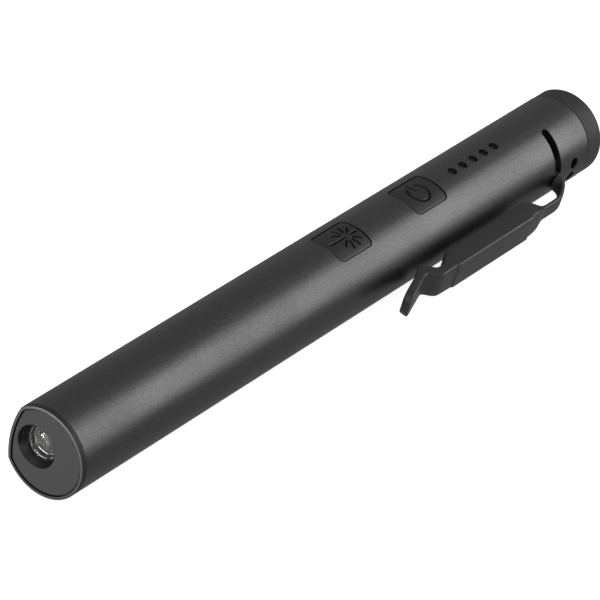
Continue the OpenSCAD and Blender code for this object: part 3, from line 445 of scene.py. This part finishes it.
def cupPiece():
    cup = cupSizes
    low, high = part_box("reflector")
    middle = (low + high) / 2
    points, faces = [], []
    count = cup["facets"] * 2

    def ringAt(depth, radius):
        start = len(points)
        for i in range(count):
            turn = 2 * math.pi * i / count
            points.append(Vector((low.x + depth * milli, middle.y, middle.z))
                          + (flatSide * math.cos(turn) + buttonUp * math.sin(turn)) * radius * milli)
        return start

    inner = []
    for ring in range(cup["rings"] + 1):
        share = ring / cup["rings"]
        radius = math.sqrt(cup["front"] ** 2 * (1 - share) + cup["rear"] ** 2 * share)
        inner.append(ringAt(cup["lipRoll"] + (cup["depth"] - cup["lipRoll"]) * share, radius))
    facetFaces = 0
    for ring in range(cup["rings"]):
        for i in range(cup["facets"]):
            left = 2 * i + ring % 2
            a, m, b = (left % count, (left + 1) % count, (left + 2) % count)
            near, far = inner[ring], inner[ring + 1]
            faces.append((near + a, near + m, near + b, far + b, far + m, far + a))
            facetFaces += 1
    outer = [ringAt(cup["depth"], cup["rear"] + cup["wall"]),
             ringAt(cup["flangeDepth"], cup["lipRadius"] + cup["lipRoll"]),
             ringAt(cup["flangeDepth"], cup["flange"]), ringAt(cup["lipRoll"], cup["flange"])]
    for step in range(cup["lipSteps"]):  # the rolled front lip, which catches the light
        turn = math.pi * step / cup["lipSteps"]
        outer.append(ringAt(cup["lipRoll"] * (1 - math.sin(turn)),
                            cup["lipRadius"] + cup["lipRoll"] * math.cos(turn)))
    chain = [inner[-1]] + outer + [inner[0]]
    for first, second in zip(chain[:-1], chain[1:]):
        for i in range(count):
            j = (i + 1) % count
            faces.append((first + i, first + j, second + j, second + i))
    piece = newPiece("reflectorCup", points, faces, mirrorCup, "housing", "reflector")
    for face in piece.data.polygons[:facetFaces]:
        face.use_smooth = False
    return piece


cupPiece()
print("mirror cup built")


# the clip: tip, block, thin leg and knee lofted over its side lines, in millimetres
# each point is station, height over the tube's axis and length of the rounding at that corner
# a section's corners take at most deepShare of its depth and wideShare of its half width
clipLines = {
    "outer": ((88.5, 15.88, 0), (95.75, 13.39, 1.2), (98.0, 12.64, 0.9), (99.9, 14.95, 1.2), (105.1, 14.95, 0.15),
              (105.4, 15.2, 0.12), (130.6, 15.2, 0.15), (131.1, 14.85, 0.15), (134.6, 14.65, 0.6),
              (136.6, 14.1, 0.6), (140.6, 14.1, 0)),
    "inner": ((88.5, 13.98, 0), (95.17, 11.69, 1.2), (98.95, 9.85, 0.8), (100.95, 12.75, 0.8), (103.0, 12.75, 0.8),
              (106.4, 10.76, 1.2), (133.9, 10.76, 1.8), (136.6, 13.2, 1.5), (140.6, 13.2, 0)),
    "kneeOuter": ((140.6, 14.1, 0), (143.0, 14.1, 2.2), (148.75, 10.95, 2.0), (148.95, 9.1, 0)),
    "kneeInner": ((140.6, 13.2, 0), (142.6, 13.2, 1.8), (146.15, 11.2, 1.2), (146.4, 9.25, 0)),
    "halfWidth": ((88.5, 2.75, 0), (98.95, 2.75, 2.0), (106.4, 3.0, 2.0), (133.2, 3.0, 1.4), (136.7, 1.65, 0.8),
                  (140.6, 1.65, 0)),
    "tipRound": 2.65, "noseRound": 0.8, "tipCrowd": 1.15, "corner": 0.4, "heelCorner": 1.15,
    "deepShare": 0.45, "wideShare": 0.9, "step": 0.16, "kneeSteps": 48, "cornerSteps": 5,
    "station": 40.19, "slot": 148.4, "tangDrop": 0.01, "tangFoot": 7.2, "tangDepth": 1.7, "sharp": 50}


def roundedLine(line, steps=10):  # the line's points, with each corner turned into a short curve
    spots = [Vector(line[0][:2])]
    for before, here, after in zip(line[:-2], line[1:-1], line[2:]):
        corner = Vector(here[:2])
        start = corner + (Vector(before[:2]) - corner).normalized() * here[2]
        end = corner + (Vector(after[:2]) - corner).normalized() * here[2]
        for i in range(steps + 1):
            share = i / steps
            spots.append(start * (1 - share) ** 2 + corner * 2 * share * (1 - share) + end * share ** 2)
    return spots + [Vector(line[-1][:2])]


def heightAt(spots, station):  # the line's height at a station
    for a, b in zip(spots[:-1], spots[1:]):
        if a.x <= station <= b.x and b.x > a.x:
            return a.y + (b.y - a.y) * (station - a.x) / (b.x - a.x)
    return spots[-1].y


def spreadAlong(spots, count):  # evenly spaced points along a line
    runs = [0.0]
    for a, b in zip(spots[:-1], spots[1:]):
        runs.append(runs[-1] + (b - a).length)
    spread = []
    for i in range(count + 1):
        want = runs[-1] * i / count
        k = next(k for k in range(1, len(runs)) if runs[k] >= want - 1e-9)  # slack for rounding
        share = 0 if runs[k] == runs[k - 1] else (want - runs[k - 1]) / (runs[k] - runs[k - 1])
        spread.append(spots[k - 1].lerp(spots[k], share))
    return spread


def clipPiece():
    clip = clipLines
    outer, inner, half = (roundedLine(clip[n]) for n in ("outer", "inner", "halfWidth"))
    first, last = clip["outer"][0][0], clip["outer"][-1][0]
    count = round((last - first) / clip["step"])
    ribs = []  # outer point, inner point, half width and corner of each section
    for i in range(1, count + 1):
        station = first + (last - first) * (i / count) ** clip["tipCrowd"]  # closer together at the rounded tip
        past = station - first
        high, low, wide = heightAt(outer, station), heightAt(inner, station), heightAt(half, station)
        wide -= clip["tipRound"] - math.sqrt(max(0, clip["tipRound"] ** 2 - max(0, clip["tipRound"] - past) ** 2))
        nose = math.sqrt(max(0, 1 - max(0, 1 - past / clip["noseRound"]) ** 2))
        middle = (high + low) / 2
        ribs.append((Vector((station, middle + (high - middle) * nose)),
                     Vector((station, middle + (low - middle) * nose)), wide, clip["corner"]))
    legHalf = clip["halfWidth"][-1][1]
    outerKnee = spreadAlong(roundedLine(clip["kneeOuter"]), clip["kneeSteps"])
    innerKnee = spreadAlong(roundedLine(clip["kneeInner"]), clip["kneeSteps"])
    for i in range(1, clip["kneeSteps"] + 1):  # the corners grow rounder towards the heel
        share = i / clip["kneeSteps"]
        ribs.append((outerKnee[i], innerKnee[i], legHalf, clip["corner"] * (1 - share) + clip["heelCorner"] * share))
    halfTang = clip["tangDepth"] / 2  # the tang that runs on through the slot
    for height in (outerKnee[-1].y - clip["tangDrop"], clip["tangFoot"]):
        ribs.append((Vector((clip["slot"] + halfTang, height)), Vector((clip["slot"] - halfTang, height)),
                     legHalf, clip["corner"]))
    points, faces = [], []
    steps = clip["cornerSteps"]
    for high, low, wide, widest in ribs:
        deep = (high - low).length
        across = (high - low).normalized()
        corner = min(widest, clip["deepShare"] * deep, clip["wideShare"] * wide)
        middle = (high + low) / 2
        for signWide, signDeep, turnFrom in ((1, 1, 0), (-1, 1, 90), (-1, -1, 180), (1, -1, 270)):
            for i in range(steps):
                turn = math.radians(turnFrom + 90 * i / (steps - 1))
                aside = signWide * (wide - corner) + corner * math.cos(turn)
                spot = middle + across * (signDeep * (deep / 2 - corner) + corner * math.sin(turn))
                points.append(penPoint(spot.x - clip["station"], -spot.y, aside))
    ring = 4 * steps
    for rib in range(len(ribs) - 1):
        for i in range(ring):
            j = (i + 1) % ring
            faces.append((rib * ring + i, rib * ring + j, (rib + 1) * ring + j, (rib + 1) * ring + i))
    faces.append(tuple(reversed(range(ring))))
    faces.append(tuple(range(len(points) - ring, len(points))))
    piece = newPiece("pocketClip", points, faces, clipNylon, "pocket_clip", "clip")
    facing = bmesh.new()
    facing.from_mesh(piece.data)
    bmesh.ops.recalc_face_normals(facing, faces=facing.faces)
    facing.to_mesh(piece.data)
    facing.free()
    keepSharp(piece, clip["sharp"])
    return piece


clipPiece()
print("clip lofted")

# the bezel: one side line carried round the D of the tube, in millimetres
# each point is depth behind the front rim and distance in from the tube's outside
bezelRing = {
    "line": ((0.0, 0.58), (0.0, 0.1), (0.03, 0.03), (0.1, 0.0), (1.0, 0.0), (1.07, 0.03), (1.1, 0.1), (1.1, 1.3),
             (6.1, 1.3), (6.1, 1.9), (0.8, 1.9), (0.8, 0.58)),
    "rimSides": 1, "round": 9.0, "crown": 19.5, "flat": 7.7, "aroundRound": 96, "aroundFlat": 24, "sharp": 40}


def tubeOutline(inset):  # once round the tube's D, counter-clockwise from the lower corner of the flat side
    ring = bezelRing
    radius, crown = ring["round"] - inset, ring["crown"] - inset
    crownCentre = ring["flat"] - ring["crown"]
    cornerY = (radius ** 2 - crown ** 2 + crownCentre ** 2) / (2 * crownCentre)
    cornerZ = math.sqrt(radius ** 2 - cornerY ** 2)
    flatTurn, roundTurn = math.atan2(cornerZ, cornerY - crownCentre), math.atan2(cornerZ, cornerY)
    spots = []
    for i in range(ring["aroundFlat"]):
        turn = -flatTurn + 2 * flatTurn * i / ring["aroundFlat"]
        spots.append((crownCentre + crown * math.cos(turn), crown * math.sin(turn)))
    for i in range(ring["aroundRound"]):
        turn = roundTurn + (2 * math.pi - 2 * roundTurn) * i / ring["aroundRound"]
        spots.append((radius * math.cos(turn), radius * math.sin(turn)))
    return spots


def bezelPiece():
    ring = bezelRing
    front = cadBox[0].x / milli
    points, faces = [], []
    for depth, inset in ring["line"]:
        points += [penPoint(front + depth, y, z) for y, z in tubeOutline(inset)]
    around, sides = ring["aroundFlat"] + ring["aroundRound"], len(ring["line"])
    for side in range(sides):
        a, b = side * around, (side + 1) % sides * around
        faces += [(a + i, b + i, b + (i + 1) % around, a + (i + 1) % around) for i in range(around)]
    piece = newPiece("headBezel", points, faces, anodisedBezel, "housing", "head_bezel")
    piece.data.materials.append(skimmedRim)
    for face in piece.data.polygons[:around * ring["rimSides"]]:
        face.material_index = 1
    keepSharp(piece, ring["sharp"])
    return piece


bezelPiece()

# the lens: a low dome with a turned-down edge, in millimetres
lensForm = {"radius": 3.38, "thick": 1.0, "dome": 0.9, "edge": 0.12, "least": 0.01, "rings": 20, "around": 72,
            "sharp": 40}


def lensPiece():
    form = lensForm
    low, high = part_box("lens")
    middle = (low + high) / 2
    line = [(form["thick"], 0.0), (form["thick"], form["radius"] - form["edge"]),
            (form["thick"] - form["edge"], form["radius"]), (form["edge"], form["radius"])]
    for i in range(form["rings"] + 1):
        reach = 1 - i / form["rings"]
        line.append((form["dome"] * (reach ** 2 - 1), reach * (form["radius"] - form["edge"])))
    points, faces = [], []
    for depth, radius in line:
        for i in range(form["around"]):
            turn = 2 * math.pi * i / form["around"]
            reach = max(radius, form["least"]) * milli
            points.append(Vector((low.x + depth * milli, middle.y, middle.z))
                          + (flatSide * math.cos(turn) + buttonUp * math.sin(turn)) * reach)
    around = form["around"]
    for row in range(len(line) - 1):
        for i in range(around):
            j = (i + 1) % around
            faces.append((row * around + i, (row + 1) * around + i, (row + 1) * around + j, row * around + j))
    faces.append(tuple(range(around)))
    faces.append(tuple(reversed(range(len(points) - around, len(points)))))
    piece = newPiece("domedLens", points, faces, clearWindow, "housing", "lens")
    keepSharp(piece, form["sharp"])
    return piece


lensPiece()
print("head built")

# pieces whose edges are broken as the real ones are: radius in millimetres
edgeBreaks = {
    "magnet_cover": ("magnetCover", "pocket_clip", clipNylon, "clip_polymer", 0.15),
    "front_panel": ("frontPanel", "housing", mattePanel, "panel_polymer", 0.1)}
# how they are broken: welding distance (m), turn that counts as flat and as an edge (degrees), steps, shading weight
breaking = {"weld": 1e-7, "flat": 0.5, "turn": 32, "steps": 3, "weight": 80}

# the panel's face sits closer to the rim than its solid, with a wider mouth in front of the lens
panelFace = {"raise": 0.28, "recess": 0.55, "mouth": 3.12, "mouthGrow": 0.22, "funnel": 4.2, "slant": (0.1, 0.97)}
lensLow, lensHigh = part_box("lens")
lampAxis = (lensLow + lensHigh) / 2


def panelSpot(spot):
    off = Vector((0, spot.y - lampAxis.y, spot.z - lampAxis.z))
    moved = spot.copy()
    if spot.x < cadBox[0].x + panelFace["recess"] * milli:
        moved.x -= panelFace["raise"] * milli
    if off.length < panelFace["mouth"] * milli:
        moved += off.normalized() * panelFace["mouthGrow"] * milli
    return moved


# puts the near-black painted shade on the funnel's slanted faces round the lens
def paintFunnelShade(piece):
    piece.data.materials.append(funnelPaintedShade)
    for face in piece.data.polygons:
        off = Vector((0, face.center.y - lampAxis.y, face.center.z - lampAxis.z))
        least, most = panelFace["slant"]
        if off.length < panelFace["funnel"] * milli and least < abs(face.normal.x) < most:
            face.material_index = 1


def softenedPiece(solid, name, body, finish, radius):
    source = bmesh.new()
    source.from_mesh(solids[solid].data)
    bmesh.ops.remove_doubles(source, verts=source.verts, dist=breaking["weld"])
    bmesh.ops.dissolve_limit(source, angle_limit=math.radians(breaking["flat"]), verts=source.verts,
                             edges=source.edges)
    source.verts.index_update()
    points = [v.co.copy() for v in source.verts]
    faces = [tuple(v.index for v in f.verts) for f in source.faces]
    source.free()
    if solid == "front_panel":
        points = [panelSpot(p) for p in points]
    piece = newPiece(name, points, faces, finish, body, solid)
    if solid == "front_panel":
        paintFunnelShade(piece)
    breakEdge = piece.modifiers.new("edgeBreak", "BEVEL")
    breakEdge.limit_method = "ANGLE"
    breakEdge.angle_limit = math.radians(breaking["turn"])
    breakEdge.width = radius * milli
    breakEdge.segments = breaking["steps"]
    breakEdge.use_clamp_overlap = False
    even = piece.modifiers.new("evenShade", "WEIGHTED_NORMAL")  # flats stay flat, fillets shade round
    even.weight = breaking["weight"]
    return piece


for solidName, (name, body, finish, slotName, radius) in edgeBreaks.items():
    softenedPiece(solidName, name, body, finish, radius)
print("edges broken:", ", ".join(edgeBreaks))

# the tail cap: its solid filled out until it is flush with the tube, with a small broken edge at the seam
# in millimetres, the seam as a place along the frame; slice in metres, sharp in degrees
capSizes = {"seam": 119.11, "edge": 0.25, "inset": 0.4, "round": 1.6, "plugInset": 1.25, "fill": 0.36,
            "seamFill": 0.12, "slack": 1e-5, "slice": 1e-8, "sharp": 30}


def capSpot(spot):
    cap = capSizes
    past = spot.x / milli - cap["seam"]
    across, up = spot.dot(flatSide) / milli, spot.dot(buttonUp) / milli
    centre = bezelRing["flat"] - bezelRing["crown"]
    inset = min(bezelRing["round"] - math.hypot(across, up), bezelRing["crown"] - math.hypot(across - centre, up))
    share = 1 - (inset - cap["inset"]) / cap["round"]
    if past < -cap["slack"] or share <= 0 or inset > cap["plugInset"] and past < cap["edge"]:
        return spot
    grow = cap["seamFill"] if past < cap["edge"] / 2 else cap["fill"] * min(1, share)
    off = flatSide * across + buttonUp * up
    return spot + off.normalized() * grow * milli


def capPiece():
    cap = capSizes
    source = bmesh.new()
    source.from_mesh(solids["tail_cap"].data)
    bmesh.ops.remove_doubles(source, verts=source.verts, dist=breaking["weld"])
    bmesh.ops.bisect_plane(source, geom=source.verts[:] + source.edges[:] + source.faces[:], dist=cap["slice"],
                           plane_co=((cap["seam"] + cap["edge"]) * milli, 0, 0), plane_no=(1, 0, 0))
    source.verts.index_update()
    points = [capSpot(v.co) for v in source.verts]
    faces = [tuple(v.index for v in f.verts) for f in source.faces]
    source.free()
    piece = newPiece("tailCap", points, faces, capBlend, "housing", "tail_cap")
    keepSharp(piece, cap["sharp"])
    return piece


capPiece()
print("tail cap built")

# studio floor: pale board just under the pen
floorBoard = {"half": 2.0, "below": 0.0001, "deep": "#efefed", "light": "#f2f2f0", "glow": 0.9, "grain": 30}
floorLevel = cadBox[0].z - floorBoard["below"]
floorMesh = bpy.data.meshes.new("studioFloor")
floorMesh.from_pydata([(sx * floorBoard["half"], sy * floorBoard["half"], floorLevel)
                       for sx, sy in ((-1, -1), (1, -1), (1, 1), (-1, 1))], [], [(0, 1, 2, 3)])
# Painted board, rolled matt: near white, no shine
floorPaint, tree, shader, place = startFinish("whiteRolledPaint", {
    "Roughness": 0.9, "Specular IOR Level": 0.1, "Emission Color": toLinear("#ffffff"),
    "Emission Strength": floorBoard["glow"]})
stipple = addNode(tree, "ShaderNodeTexNoise", {"Scale": perMetre(floorBoard["grain"])}, {"Vector": place})
paint = addNode(tree, "ShaderNodeValToRGB", links={"Fac": stipple.outputs["Fac"]})
paint.color_ramp.elements[0].color = toLinear(floorBoard["deep"])
paint.color_ramp.elements[1].color = toLinear(floorBoard["light"])
tree.links.new(paint.outputs["Color"], shader.inputs["Base Color"])
floorMesh.materials.append(floorPaint)
floor = bpy.data.objects.new("studioFloor", floorMesh)
bpy.context.scene.collection.objects.link(floor)
floor.visible_glossy = False  # the pen was shot on a cut-out, so the floor does not show in its gloss

# soft boxes: direction seen from the pen, distance, width, height (m) and brightness of the face
softBoxes = {
    "bandBox": ((0.71, -0.665, 0.22), 0.85, 0.5, 0.68, 3.5),  # draws the pale band along the tube
    "topBox": ((-0.60, -0.12, 0.80), 1.3, 1.2, 1.2, 0.9),  # lights floor and lens side, off the tube's reflection
    "fillBox": ((-0.55, -0.83, 0.08), 1.2, 0.6, 0.4, 3.0),  # lifts the clip's outer face
    "keySpot": ((-0.951, 0.284, 0.119), 0.9, 0.22, 0.22, 36.0)}  # grazes the bezel's rim and glints in the lens
penMiddle = Vector((0.042, 0.0, 0.0))  # where they all aim
for name, (toward, distance, width, height, glow) in softBoxes.items():
    lamp = bpy.data.lights.new(name, "AREA")
    lamp.shape = "RECTANGLE"
    lamp.size, lamp.size_y = width, height
    lamp.energy = glow * math.pi * width * height  # watts that give this radiance
    holder = bpy.data.objects.new(name, lamp)
    bpy.context.scene.collection.objects.link(holder)
    holder.visible_diffuse = name != "keySpot"
    holder.location = penMiddle + Vector(toward).normalized() * distance
    holder.rotation_euler = (penMiddle - holder.location).to_track_quat("-Z", "Y").to_euler()

room = {"colour": "#ffffff", "glow": 0.33}
world = bpy.data.worlds.new("studioRoom")
bpy.context.scene.world = world
world.use_nodes = True
backdrop = world.node_tree.nodes["Background"]
backdrop.inputs["Color"].default_value = toLinear(room["colour"])
backdrop.inputs["Strength"].default_value = room["glow"]
bpy.context.scene.view_settings.view_transform = "Standard"
print("studio lit")

# the photograph's viewpoint
photoCamera = {"place": (-0.51142, -0.45097, 0.30822), "aim": (0.03372, -0.00054, -0.00079), "turn": -6.03,
               "lens": 246.8, "sensor": 36, "near": 0.01}
camera = bpy.data.cameras.new("photoCamera")
camera.lens = photoCamera["lens"]
camera.sensor_width = photoCamera["sensor"]
camera.clip_start = photoCamera["near"]
viewer = bpy.data.objects.new("photoCamera", camera)
bpy.context.scene.collection.objects.link(viewer)
viewer.location = photoCamera["place"]
gaze = (Vector(photoCamera["aim"]) - viewer.location).to_track_quat("-Z", "Y")
viewer.rotation_mode = "QUATERNION"
viewer.rotation_quaternion = gaze @ Quaternion((0, 0, 1), math.radians(photoCamera["turn"]))
bpy.context.scene.camera = viewer
